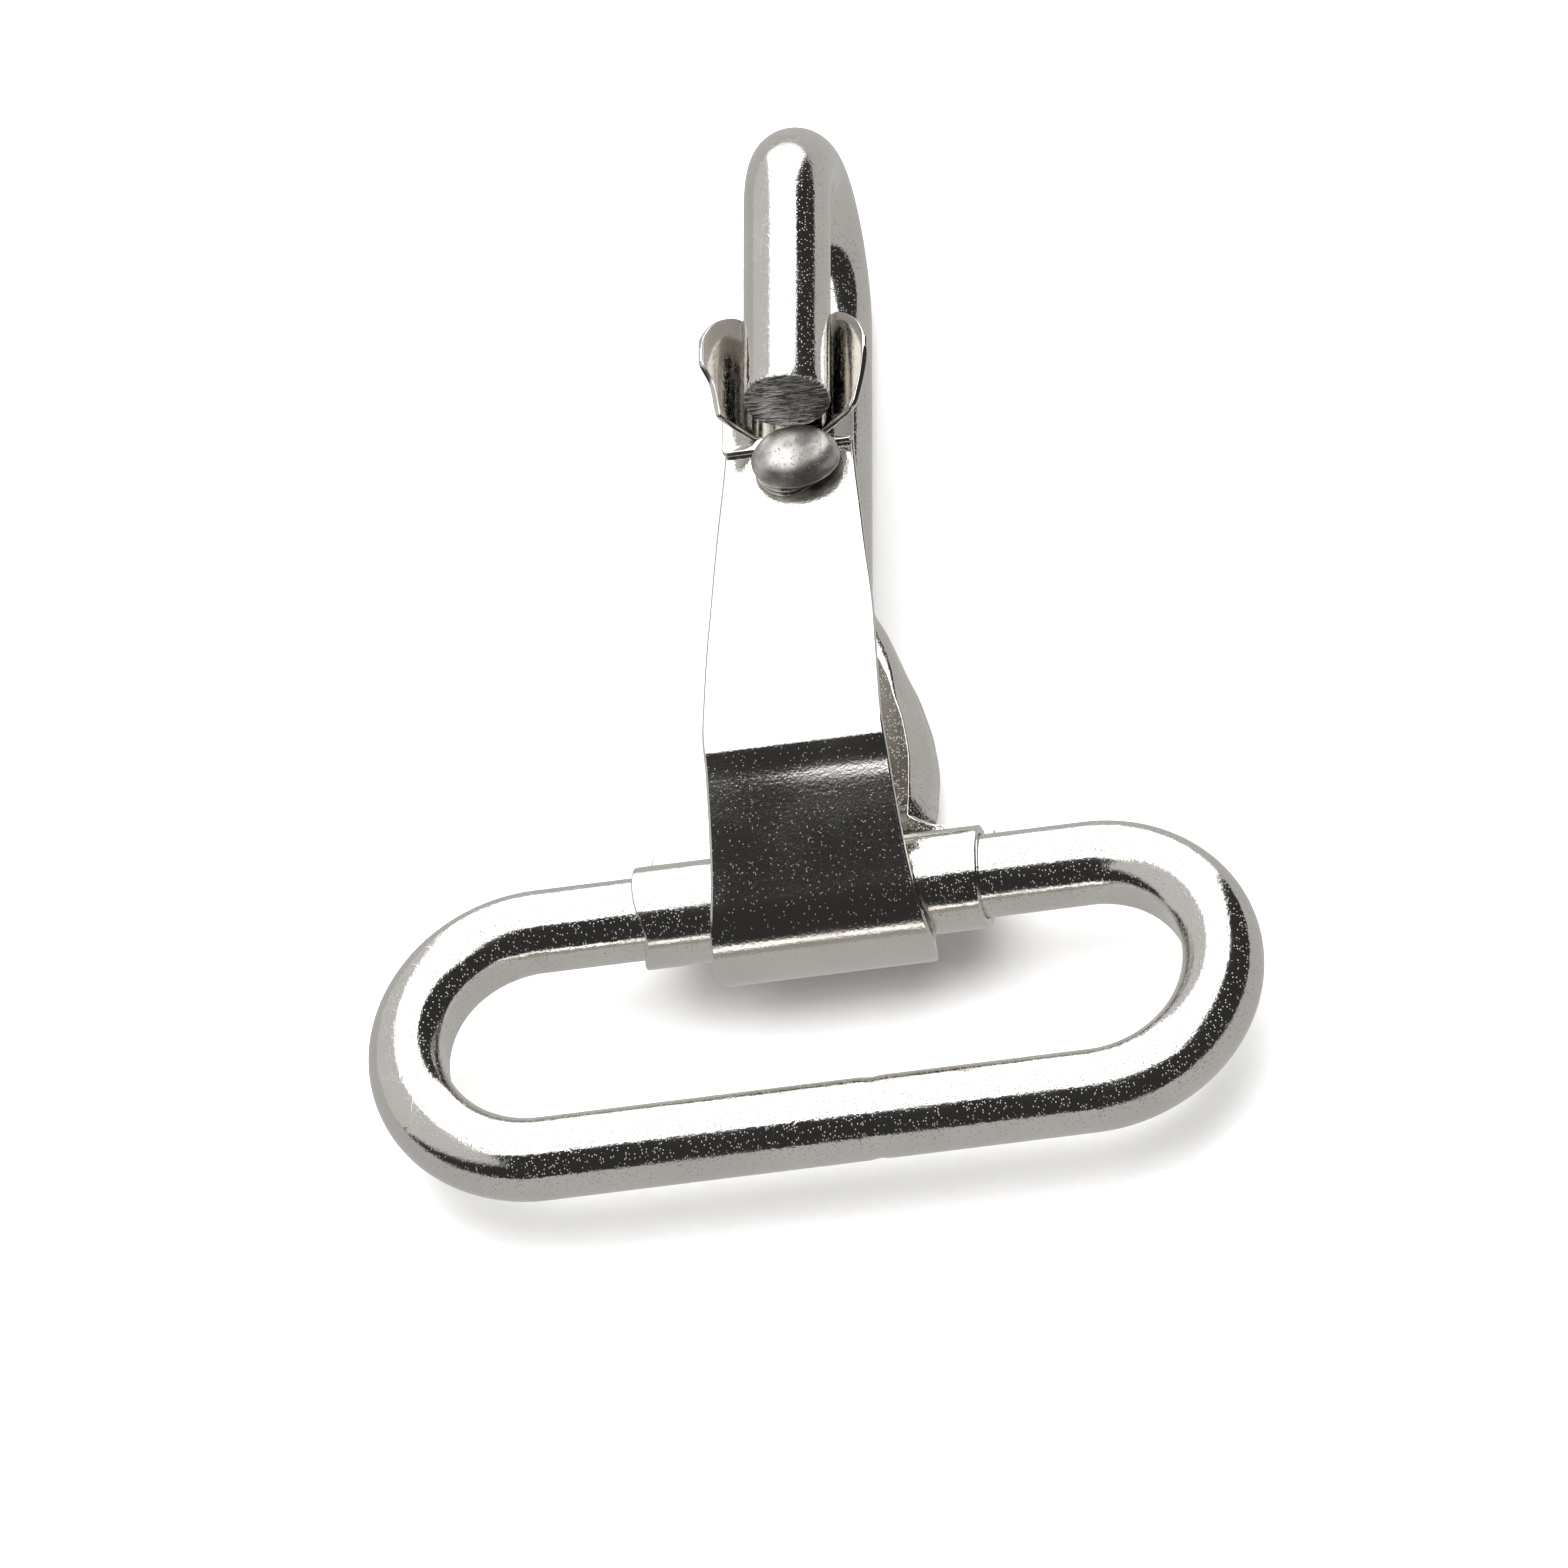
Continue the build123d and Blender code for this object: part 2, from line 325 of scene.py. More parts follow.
def sheared_end():
    """Rings across the nose's end: uneven metal inside, a worn rim at the upper right."""
    rings = []
    for share in END_SHARES:
        ring = []
        for u, v in ring_outline(ROD_RADIUS, ROD_RADIUS, ROD_RADIUS, ROD_RADIUS, RING_POINTS):
            u, v = u * share, v * share
            lumps = END_LUMPS * noise.noise(Vector((0.9 * u, 0.9 * v, 3.0)))
            slant = END_SLANT * rise(-u, -0.2, 0.7)
            ring.append(place(u, NOSE_END + 0.06 + lumps + slant, NOSE_Z + v))
        rings.append(ring)
    for level, radius, wear in WORN_RIM:
        ring = []
        for u, v in ring_outline(radius, radius, radius, radius, RING_POINTS):
            worn = 1 - wear * bump(degrees(atan2(v, u)), WEAR_AT, WEAR_SPAN) / radius
            ring.append(place(u * worn, NOSE_END + level, NOSE_Z + v * worn))
        rings.append(ring)
    return rings


def rod_rings():
    """Nose, bow and shank."""
    rings = sheared_end()
    for y in spread(NOSE_END + 1.0, BOW_LEVEL, 0.8)[:-1]:
        rings.append(rod_ring(y, NOSE_Z, (0, 1)))
    for t in spread(0, pi, radians(3.5)):
        out = (sin(t), cos(t))
        y = BOW_LEVEL + BOW_RADIUS * out[0]
        rings.append(rod_ring(y, SHANK_Z + BOW_RADIUS * (1 + out[1]), out))
    for y in spread(BOW_LEVEL, NECK, 0.8)[1:-1]:
        rings.append(rod_ring(y, SHANK_Z, (0, -1)))
    return rings


print("rings in the rod:", len(rod_rings()))

# %% Hook body: fishtail and rolled eye
ROLL_END = 320.0              # degrees that the sheet is rolled round the bail's bar
BEVEL = 1.2                   # width of the bevel that the hammer leaves on the fishtail's front
DISH = 0.2                    # how far the hammered front is hollow in the middle
BEVEL_DEPTH = 0.7             # it ends this share of half the thickness behind the middle


def bevelled(outline, bevels, sides, half_thick):
    """Narrows and dishes the front of a ring, so that the sides lean back as a wide bevel."""
    edge = BEVEL_DEPTH * half_thick
    shaped = []
    for u, v in outline:
        bevel, half_width = bevels[u > 0], sides[u > 0]
        front = max(0.0, (edge - v) / (edge + half_thick))
        dish = DISH * bevel / BEVEL * front * (u / half_width) ** 2
        shaped.append((u * (1 - bevel / half_width * front), v - dish))
    return shaped


def flat_rings():
    """The hammered stretch, with its rings close together where the outline turns."""
    rings = []
    runs = ((NECK, 7.2, 0.35), (7.1, 5.1, 0.07), (5.0, 0.25, 0.3))
    for y in np.concatenate([spread(*run) for run in runs]):
        left, right, half, z, corner = smooth_table(HAMMERED, y)
        bevel = BEVEL * (1 - rise(y, 13.5, 20.0))
        bevels = (bevel * rise(y, 6.5, 7.6), bevel * rise(y, 5.2, 6.2))
        outline = ring_outline(left, right, half, corner, RING_POINTS)
        outline = bevelled(outline, bevels, (left, right), half)
        rings.append([place(u, y, z - v) for u, v in outline])
    return rings


def roll_rings():
    """The thin sheet round the eye. Its left edge is a little rounded under the barrel."""
    rings = []
    for t in spread(0, radians(ROLL_END), radians(4)):
        left = EYE_HALF - 0.5 * bump(degrees(t), 118, 34)
        right = EYE_HALF - 0.12 * bump(degrees(t), 100, 50)
        outline = ring_outline(left, right, SHEET_HALF, 0.12, RING_POINTS)
        out = (-sin(t), -cos(t))
        rings.append([
            place(u, (SHEET_MIDDLE + v) * out[0], (SHEET_MIDDLE + v) * out[1])
            for u, v in outline
        ])
    return rings


hook = skin("hook_skin", rod_rings() + flat_rings() + roll_rings())
mark_edges(hook)

# %% [markdown]
# ## The leaf
# The gate is a strip of thin spring steel. It lies flat behind the nose, bulges forward as
# it comes down, bends back over a knee, passes loosely under the eye and ends flat behind
# the shank. A real leaf isn't perfectly regular: the press leaves a shallow wave below the
# knee, deeper on the right, which shows as a soft bright wedge. The strip is a bent path
# with thin rings on it, so that dent is a tiny push against the outward direction.

# %% Leaf: sizes
LEAF_HALF = 0.225             # half its thickness
LEAF_EDGE = 0.16              # rounding of its edges
LEAF_CORNERS = (
    (32.0, 3.85), (17.5, 3.85), (5.15, 7.4), (-3.7, 1.65), (-3.7, -4.0), (5.4, -4.0),
)
LEAF_BENDS = (25.0, 1.6, 4.0, 3.4)
LEAF_POINTS = 64
DENT_LEFT = 0.012             # depth of the dent below the knee
DENT_MORE = 0.05              # what the right side has on top of that
DENT_BELOW = 1.95             # how far below the knee its middle lies
DENT_SPAN = 0.6

# level, middle, half width
LEAF_OUTLINE = (
    (-3.7, 0.47, 5.8), (-2.4, 0.47, 5.4), (-0.5, 0.47, 5.1), (4.0, 0.45, 4.75),
    (7.2, 0.23, 4.63), (14.3, -0.2, 4.34), (20.5, -0.46, 3.87), (25.4, -0.48, 3.42),
    (30.5, -0.4, 3.1), (32.0, -0.4, 1.9),
)


def leaf_rings():
    """Rings from the tip, over the knee and under the eye, to the tail."""
    outer = bent_path(LEAF_CORNERS, LEAF_BENDS, 0.35, 2.5)
    runs = np.concatenate([[0], np.cumsum(np.hypot(*np.diff(outer, axis=0).T))])
    knee = runs[np.argmax(outer[:, 1])]
    outs = outward(outer)
    middle = outer - outs * LEAF_HALF
    rings = []
    for (y, z), out, run in zip(middle, outs, runs):
        shift, half = smooth_table(LEAF_OUTLINE, y)
        outline = ring_outline(half - shift, half + shift, LEAF_HALF, LEAF_EDGE, LEAF_POINTS)
        ring = []
        for u, v in outline:
            depth = DENT_LEFT + DENT_MORE * rise(u, -5.0, 4.0)
            push = v - depth * bump(run, knee + DENT_BELOW + 0.02 * u, DENT_SPAN)
            ring.append(place(u, y + push * out[0], z + push * out[1]))
        rings.append(ring)
    return rings


leaf = skin("leaf_skin", leaf_rings())
mark_edges(leaf)

# %% [markdown]
# ## The guard
# The guard is stamped from thinner sheet: a flat plate with a round tab for the rivet, and
# two ears that lean outward beside the nose, so that the mouth can't catch. The plate is cut
# from an outline with a rolled rim, and each ear is another skin of rings that starts inside
# the plate. A boolean union then makes them one closed piece, as the sheet is.

# %% Guard: the flat plate
PLATE_BACK = 3.85
PLATE_FRONT = 4.2
GUARD_SHIFT = -0.5
RIVET_LEVEL = 24.95
TAB_RADIUS = 1.7
PLATE_BOTTOM = 26.0
PLATE_TOP = 32.6
PLATE_HALF = 3.45


def plate_outline():
    """Shoulders, sides and the round tab, anticlockwise."""
    above = PLATE_BOTTOM - RIVET_LEVEL
    joins = sqrt(TAB_RADIUS ** 2 - above ** 2)
    start, end = atan2(above, -joins), atan2(above, joins) + 2 * pi
    corners = [
        (joins, PLATE_BOTTOM), (PLATE_HALF, PLATE_BOTTOM), (PLATE_HALF, PLATE_TOP),
        (-PLATE_HALF, PLATE_TOP), (-PLATE_HALF, PLATE_BOTTOM), (-joins, PLATE_BOTTOM),
    ]
    points = list(bent_path(corners, (0.3, 0.7, 0.7, 0.3), 0.5, 9))
    tab = [
        (TAB_RADIUS * cos(t), RIVET_LEVEL + TAB_RADIUS * sin(t))
        for t in np.linspace(start, end, 50)[1:-1]
    ]
    return np.array(points + tab)


def stamped_plate(name, outline, back, front, rim):
    """A flat plate with a rounded rim, from its outline."""
    ahead, behind = np.roll(outline, -1, axis=0), np.roll(outline, 1, axis=0)
    along = ahead - behind
    along /= np.linalg.norm(along, axis=1)[:, None]
    inward = np.stack([-along[:, 1], along[:, 0]], axis=1)
    turns = np.linspace(0, pi / 2, 5)
    levels = [(rim * (1 - sin(t)), back + rim * (1 - cos(t))) for t in turns]
    levels += [(inset, back + front - z) for inset, z in reversed(levels)]
    bm = bmesh.new()
    rows = [
        [bm.verts.new(place(x + GUARD_SHIFT, y, z)) for x, y in outline + inward * inset]
        for inset, z in levels
    ]
    for a, b in zip(rows, rows[1:]):
        for k in range(len(a)):
            m = (k + 1) % len(a)
            bm.faces.new((a[k], a[m], b[m], b[k]))
    bm.faces.new(rows[0])
    bm.faces.new(rows[-1])
    bmesh.ops.recalc_face_normals(bm, faces=bm.faces)
    mesh = bpy.data.meshes.new(name)
    bm.to_mesh(mesh)
    bm.free()
    piece = bpy.data.objects.new(name, mesh)
    bpy.context.scene.collection.objects.link(piece)
    return piece


guard = stamped_plate("guard_skin", plate_outline(), PLATE_BACK, PLATE_FRONT, 0.09)

# %% Guard: the ears
EAR_HALF = 0.165              # a hair thinner than the plate, so their faces never coincide
EAR_FOOT_X = 1.3
EAR_ROWS = 40
EAR_POINTS = 48
EAR_BEND = 0.9                # radius where an ear leaves the plate

# side, lean, levels of the foot, rim as (level, height) from the bottom up
EARS = (
    (-1, radians(34), (26.6, 34.0), (
        (26.75, 3.0), (28.5, 3.55), (29.8, 4.45), (30.9, 4.4),
        (32.0, 3.95), (33.0, 3.1), (33.8, 1.7),
    )),
    (1, radians(47), (26.5, 34.0), (
        (26.5, 3.2), (27.4, 3.85), (29.1, 4.35), (30.3, 4.45),
        (31.4, 4.1), (32.5, 3.25), (33.6, 1.9),
    )),
)


def rim_curve(foot, rim):
    """The ear's outline as a smooth curve of (level, height), foot to foot."""
    points = np.array([(foot[0], 0.0), *rim, (foot[1], 0.0)])
    runs = np.concatenate([[0], np.cumsum(np.hypot(*np.diff(points, axis=0).T))])
    table = [(run, *point) for run, point in zip(runs, points)]
    return np.array([smooth_table(table, run) for run in np.linspace(0, runs[-1], 300)])


def ear_skin(side, lean, foot, rim):
    """One ear, from inside the plate to its rim; side is 1 on the right and -1 on the left."""
    curve = rim_curve(foot, rim)
    peak = int(np.argmax(curve[:, 1]))
    height = curve[peak, 1]
    middle = (PLATE_BACK + PLATE_FRONT) / 2
    wall = (EAR_FOOT_X + EAR_HALF * cos(lean), PLATE_BACK - EAR_HALF * sin(lean))
    rise_to_middle = (middle - wall[1]) / cos(lean)
    corner = (wall[0] + rise_to_middle * sin(lean), middle)
    tip = (wall[0] + height * sin(lean), wall[1] + height * cos(lean))
    path = bent_path(((0.5, middle), corner, tip), (EAR_BEND,), 0.2, 5)
    outs = outward(path)
    runs = np.concatenate([[0], np.cumsum(np.hypot(*np.diff(path, axis=0).T))])
    rings = []
    for share in np.linspace(0, 1, EAR_ROWS):
        run = runs[-1] * (1 - (1 - share) ** 2.2)
        x, z, ox, oz = (np.interp(run, runs, c) for c in (*path.T, *outs.T))
        up = min(max(height - (runs[-1] - run), 0), height * 0.995)
        low = float(np.interp(up, curve[: peak + 1, 1], curve[: peak + 1, 0]))
        high = float(np.interp(up, curve[: peak - 1 : -1, 1], curve[: peak - 1 : -1, 0]))
        reach = (high - low) / 2
        half = EAR_HALF * sqrt(max(1 - max(0.0, (run - runs[-1] + 0.14) / 0.15) ** 2, 0.08))
        outline = ring_outline(reach, reach, half, 0.12, EAR_POINTS)
        rings.append([
            place(side * (x + v * ox) + GUARD_SHIFT, (low + high) / 2 + u, z + v * oz)
            for u, v in outline
        ])
    return skin("ear", rings)


ears = [ear_skin(*shape) for shape in EARS]

# %% Guard: one closed piece


def weld(piece, others):
    """Joins closed meshes into one by boolean union, and removes the others."""
    for other in others:
        join = piece.modifiers.new("union", "BOOLEAN")
        join.operation = "UNION"
        join.solver = "EXACT"
        join.object = other
    bpy.context.view_layer.update()
    whole = piece.evaluated_get(bpy.context.evaluated_depsgraph_get())
    mesh = bpy.data.meshes.new_from_object(whole)
    piece.modifiers.clear()
    piece.data = mesh
    for other in others:
        bpy.data.objects.remove(other)


weld(guard, ears)
mark_edges(guard)

# %% [markdown]
# ## The rivet
# A solid rivet holds the guard on the leaf, and its dome is what the thumb pushes. It is
# turned round its own axis, so rings round that axis are the natural way to make it. A
# hammered head is never a perfect dome, so the dome gets slow, shallow dents. They bend the
# reflections into the soft S that plated rivets show.

# %% Rivet
HEAD_RADIUS = 1.8
HEAD_OVAL = 1.29              # the head is hammered wider across the leaf
HEAD_HEIGHT = 1.46
TAIL_RADIUS = 1.6
TAIL_TOP = 3.4
TAIL_HEIGHT = 0.6
SHANK_RADIUS = 1.0
HEAD_WALL = 0.27              # the head's side is upright this far up
DENTS = 0.16                  # how much the dents differ in depth
RIVET_POINTS = 72


def rivet_rings():
    """Rings from the middle of the tail, along the shank, to the middle of the dome."""
    tail = TAIL_TOP - TAIL_HEIGHT
    rim = HEAD_RADIUS - 0.01
    profile = [
        (0.02, tail), (0.9, tail + 0.01), (1.3, tail + 0.05), (1.5, tail + 0.15),
        (1.58, tail + 0.32), (TAIL_RADIUS, tail + 0.5), (1.54, TAIL_TOP),
        (SHANK_RADIUS, TAIL_TOP), (SHANK_RADIUS, PLATE_FRONT),
        (HEAD_RADIUS - 0.1, PLATE_FRONT), (HEAD_RADIUS - 0.02, PLATE_FRONT + 0.06),
        (HEAD_RADIUS, PLATE_FRONT + 0.16), (rim, PLATE_FRONT + HEAD_WALL),
    ]
    for t in spread(0.06, 0.997, 0.04):
        up = HEAD_WALL + (HEAD_HEIGHT - HEAD_WALL) * sin(t * pi / 2) ** 0.95
        profile.append((rim * cos(t * pi / 2) ** 0.5, PLATE_FRONT + up))
    rings = []
    for r, z in profile:
        ring = []
        oval = HEAD_OVAL if z > PLATE_FRONT + 0.01 else 1
        dented = rise(z, PLATE_FRONT + 0.2, PLATE_FRONT + 0.9)
        for t in np.arange(RIVET_POINTS) * 2 * pi / RIVET_POINTS:
            x, y = r * cos(t) * oval, r * sin(t)
            dent = 0.0
            if z > PLATE_FRONT + 0.3:
                dent = DENTS * (noise.noise(Vector((0.7 * x + 4.3, 0.9 * y + 1.2, 0.4))) - 0.5)
            ring.append(place(x, RIVET_LEVEL + y, z + dent * dented))
        rings.append(ring)
    return rings


rivet = skin("rivet_skin", rivet_rings())
mark_edges(rivet)

# %% [markdown]
# ## The bail
# The bail is one length of wire bent round a former into an oval and butt welded. Its rings
# follow the oval's centre line. The former presses a small flat into the inside of each
# bend, with a crisp edge, so the rings there lose a slice on the inner side. The whole ring
# hangs a few degrees behind the plane of the hook.

# %% Bail
WIRE_RADIUS = 2.144
BAR_SPACING = 13.7
BAIL_STRAIGHT = 28.6
BAIL_TILT = radians(4.5)
FLAT_DEPTH = 0.3              # slice that the former takes from the inside of a bend
WELD_DEPTH = 0.035
WELD_X = 3.0
WELD_SPAN = 0.3
BAIL_POINTS = 72


def bail_centres():
    """(x, y, outward x, outward y, bend flat, weld) round the oval."""
    half, radius = BAIL_STRAIGHT / 2, BAR_SPACING / 2
    stops = []
    for x in spread(-half, half, 0.7)[:-1]:
        stops.append((x, 0, 0, 1, 0, 0))
    for t in spread(0, pi, radians(3))[:-1]:
        flat = rise(t, radians(2), radians(26)) * (1 - rise(t, radians(150), radians(176)))
        stops.append((half + radius * sin(t), radius * (cos(t) - 1), sin(t), cos(t), flat, 0))
    for x in spread(half, -half, 0.35)[:-1]:
        stops.append((x, -2 * radius, 0, -1, 0, bump(x, WELD_X, WELD_SPAN)))
    for t in spread(0, pi, radians(3))[:-1]:
        flat = rise(t, radians(4), radians(30)) * (1 - rise(t, radians(154), radians(178)))
        stops.append((-half - radius * sin(t), -radius * (1 + cos(t)), -sin(t), -cos(t), flat, 0))
    return stops


def bail_rings():
    """Round rings with the bend flats and the weld, tilted about the eye's axis."""
    rings = []
    for x, y, ox, oy, flat, seam in bail_centres():
        ring = []
        for u, v in ring_outline(*[WIRE_RADIUS] * 4, BAIL_POINTS):
            v = max(v, -(WIRE_RADIUS - FLAT_DEPTH * flat))
            u, v = (c * (1 - WELD_DEPTH * seam) for c in (u, v))
            py, pz = y + v * oy, u
            ring.append(place(
                x + v * ox,
                py * cos(BAIL_TILT) - pz * sin(BAIL_TILT),
                py * sin(BAIL_TILT) + pz * cos(BAIL_TILT),
            ))
        rings.append(ring)
    return rings


ring = skin("bail_skin", bail_rings(), closed=True)
mark_edges(ring)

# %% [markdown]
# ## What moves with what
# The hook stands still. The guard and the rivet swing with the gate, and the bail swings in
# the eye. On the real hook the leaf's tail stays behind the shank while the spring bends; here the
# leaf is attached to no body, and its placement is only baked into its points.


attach(hook, "hook")
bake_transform(leaf)
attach(guard, "gate")
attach(rivet, "gate")
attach(ring, "bail")
for piece, node, finish in (
    (hook, "hook_body", "hook_nickel"),
    (leaf, "gate_spring", "leaf_nickel"),
    (guard, "gate_guard", "guard_nickel"),
    (rivet, "gate_rivet", "rivet_nickel"),
    (ring, "bail", "bail_nickel"),
):
    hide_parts(node)
    print(piece.name, "stands for", node)

# %% [markdown]
# ## Nickel plating
# Bright nickel is a mirror with a faint warm tone. What makes it look real is what is wrong
# with it: the steel under it has a fine orange peel, the bath leaves tiny bright and dark
# specks, edges are rubbed, and handling leaves hair scratches. Each of these is one node
# group with its own inputs, and every piece uses the same groups with its own values.

# %% Node helpers


def add(tree, kind, inputs=(), **settings):
    """A node with its settings and the given input values or links."""
    node = tree.nodes.new(kind)
    for name, value in settings.items():
        setattr(node, name, value)
    for socket, value in dict(inputs).items():
        if isinstance(value, bpy.types.NodeSocket):
            tree.links.new(value, node.inputs[socket])
        else:
            node.inputs[socket].default_value = value
    return node


def maths(tree, operation, a, b=0.0):
    """The result of one Math node."""
    return add(tree, "ShaderNodeMath", {0: a, 1: b}, operation=operation).outputs[0]


def step_up(tree, value, low, high):
    """0 below low, 1 above high, smooth between."""
    inputs = {"Value": value, "From Min": low, "From Max": high}
    return add(tree, "ShaderNodeMapRange", inputs, interpolation_type="SMOOTHSTEP").outputs[0]


def group(name, inputs, outputs):
    """An empty shader group with float inputs and outputs, and its two end nodes."""
    tree = bpy.data.node_groups.new(name, "ShaderNodeTree")
    for socket, value in inputs.items():
        made = tree.interface.new_socket(socket, in_out="INPUT", socket_type="NodeSocketFloat")
        made.default_value = value
    for socket in outputs:
        tree.interface.new_socket(socket, in_out="OUTPUT", socket_type="NodeSocketFloat")
    return tree, tree.nodes.new("NodeGroupInput"), tree.nodes.new("NodeGroupOutput")


# %% Group: plating grain
grain_inputs = {"Grain": 5200.0, "Clouds": 260.0, "Specks": 3800.0, "Sparse": 0.7}
grain, given, result = group("plating_grain", grain_inputs, ("Height", "Cloud", "Speck"))
where = add(grain, "ShaderNodeTexCoord").outputs["Object"]
peel = add(grain, "ShaderNodeTexNoise", {
    "Vector": where, "Scale": given.outputs["Grain"], "Detail": 2.0, "Roughness": 0.55}).outputs[0]
slow = add(grain, "ShaderNodeTexNoise", {
    "Vector": where, "Scale": given.outputs["Clouds"], "Detail": 3.0, "Roughness": 0.5}).outputs[0]
cells = add(grain, "ShaderNodeTexVoronoi", {"Vector": where, "Scale": given.outputs["Specks"]})
lot = add(grain, "ShaderNodeSeparateColor", {0: cells.outputs["Color"]}).outputs[0]
chosen = maths(grain, "GREATER_THAN", lot, given.outputs["Sparse"])
dots = maths(grain, "SUBTRACT", 1.0, step_up(grain, cells.outputs["Distance"], 0.08, 0.34))
grain.links.new(peel, result.inputs["Height"])
grain.links.new(step_up(grain, slow, 0.3, 0.7), result.inputs["Cloud"])
grain.links.new(maths(grain, "MULTIPLY", chosen, dots), result.inputs["Speck"])
print("plating_grain:", len(grain.nodes), "nodes")

# %% Group: rubbed edges
rubbed, given, result = group("rubbed_edges", {"Breakup": 900.0}, ("Mask",))
where = add(rubbed, "ShaderNodeTexCoord").outputs["Object"]
exposed = add(rubbed, "ShaderNodeAttribute", attribute_name="edge").outputs["Fac"]
patchy = add(rubbed, "ShaderNodeTexNoise", {
    "Vector": where, "Scale": given.outputs["Breakup"], "Detail": 3.0}).outputs[0]
worn = step_up(rubbed, exposed, 0.15, 0.75)
mask = maths(rubbed, "MULTIPLY", worn, step_up(rubbed, patchy, 0.3, 0.62))
rubbed.links.new(mask, result.inputs["Mask"])
print("rubbed_edges:", len(rubbed.nodes), "nodes")

# %% Group: hair scratches
hairs, given, result = group("hair_scratches", {"Amount": 0.5, "Turn": 0.6}, ("Mask",))
where = add(hairs, "ShaderNodeTexCoord").outputs["Object"]
lines = []
for offset, fine in ((0.0, 3600.0), (1.15, 2900.0), (2.3, 4300.0)):
    angle = maths(hairs, "ADD", given.outputs["Turn"], offset)
    turn = add(hairs, "ShaderNodeCombineXYZ", {"Z": angle})
    spun = add(hairs, "ShaderNodeVectorRotate", {
        "Vector": where, "Rotation": turn.outputs[0]}, rotation_type="EULER_XYZ").outputs[0]
    long = add(hairs, "ShaderNodeVectorMath", {
        0: spun, 1: (fine, 210.0, 600.0)}, operation="MULTIPLY").outputs[0]
    streak = add(hairs, "ShaderNodeTexNoise", {
        "Vector": long, "Scale": 1.0, "Detail": 0.0}).outputs[0]
    lines.append(step_up(hairs, streak, 0.735, 0.8))
where_worn = add(hairs, "ShaderNodeTexNoise", {
    "Vector": where, "Scale": 160.0, "Detail": 1.0}).outputs[0]
scuffed = maths(hairs, "MULTIPLY", step_up(hairs, where_worn, 0.38, 0.62), given.outputs["Amount"])
total = maths(hairs, "MAXIMUM", maths(hairs, "MAXIMUM", lines[0], lines[1]), lines[2])
hairs.links.new(maths(hairs, "MULTIPLY", total, scuffed), result.inputs["Mask"])
print("hair_scratches:", len(hairs.nodes), "nodes")

# %% [markdown]
# ## One nickel for each piece
# The five finishes differ a little. The rod is forged and a bit wavy, the leaf is rolled
# strip and the flattest mirror, the guard is thin stamped sheet, the rivet is hammered and
# worn dull, and the bail's wire has the coarsest peel. Colour, roughness and height are all
# driven by the groups; metallic is a plain number on the shader. Only the hook has a sheared
# end: there the plating gives way to torn steel, drawn by noise stretched across the face.

# %% Nickel materials
WARM = (0.735, 0.715, 0.685, 1.0)
DULL = (0.50, 0.485, 0.465, 1.0)
RUBBED = (0.90, 0.885, 0.86, 1.0)
WORN = (0.24, 0.23, 0.22, 1.0)
BARE_STEEL = (0.10, 0.10, 0.10, 1.0)
SPECKS_PER_GRAIN = 1.7        # specks are this much finer than the orange peel
STREAKS = (1300.0, 1300.0, 10500.0)   # noise scale per metre on the torn steel
STREAK_HEIGHT = 12.0          # in peel depths


def blend_colour(tree, share, a, b):
    """A colour between a and b."""
    inputs = {"Factor": share, 6: a, 7: b}
    return add(tree, "ShaderNodeMix", inputs, data_type="RGBA").outputs[2]


def scaled(tree, value, factor):
    """A value times a number."""
    return maths(tree, "MULTIPLY", value, factor)


def torn_steel(tree, colour, roughness, relief):
    """The three with torn steel laid over them where the piece is sheared."""
    torn = add(tree, "ShaderNodeAttribute", attribute_name="cut").outputs["Fac"]
    inside = add(tree, "ShaderNodeTexCoord").outputs["Object"]
    stretched = add(tree, "ShaderNodeVectorMath", {
        0: inside, 1: STREAKS}, operation="MULTIPLY").outputs[0]
    streaks = add(tree, "ShaderNodeTexNoise", {
        "Vector": stretched, "Scale": 1.0, "Detail": 3.0, "Distortion": 0.7}).outputs[0]
    steel = blend_colour(tree, step_up(tree, streaks, 0.4, 0.68), BARE_STEEL, RUBBED)
    ridges = maths(tree, "MULTIPLY", streaks, scaled(tree, torn, STREAK_HEIGHT))
    return (
        blend_colour(tree, torn, colour, steel),
        maths(tree, "ADD", roughness, scaled(tree, torn, 0.16)),
        maths(tree, "ADD", relief, ridges),
    )


